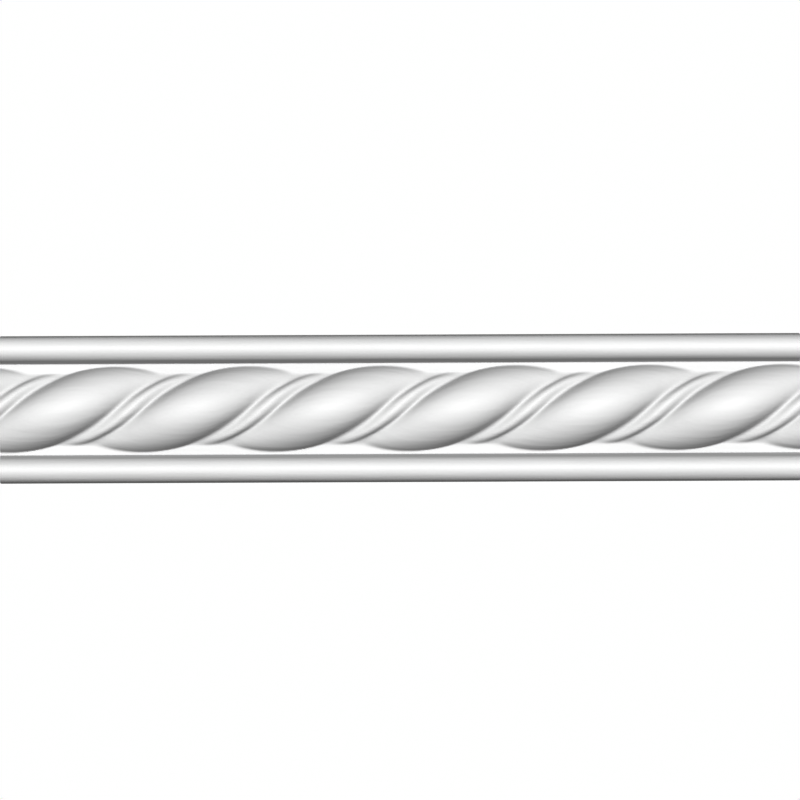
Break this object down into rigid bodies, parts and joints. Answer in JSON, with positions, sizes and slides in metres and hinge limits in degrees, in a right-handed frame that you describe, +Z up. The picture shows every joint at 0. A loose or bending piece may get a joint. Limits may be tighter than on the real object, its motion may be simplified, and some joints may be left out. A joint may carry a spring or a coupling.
{
  "type": "flexible rope-twist moulding",
  "caption": "Straight length of white primed flexible moulding with a rope twist between two beads, flat at the back, glued to a wall, door or piece of furniture.",
  "frame": {"origin": "middle of the flat back, where the moulding is glued to the wall", "axes": "+X along the moulding to the right as seen from the front, +Z up across its height, +Y back into the wall, so the rope faces -Y"},
  "size_m": [0.217, 0.017, 0.04],
  "materials": {
    "white_primer": "smooth white primer with a soft sheen over cast polyurethane"
  },
  "bodies": {
    "root": {"rope_moulding": "white_primer"}
  },
  "joints": []
}
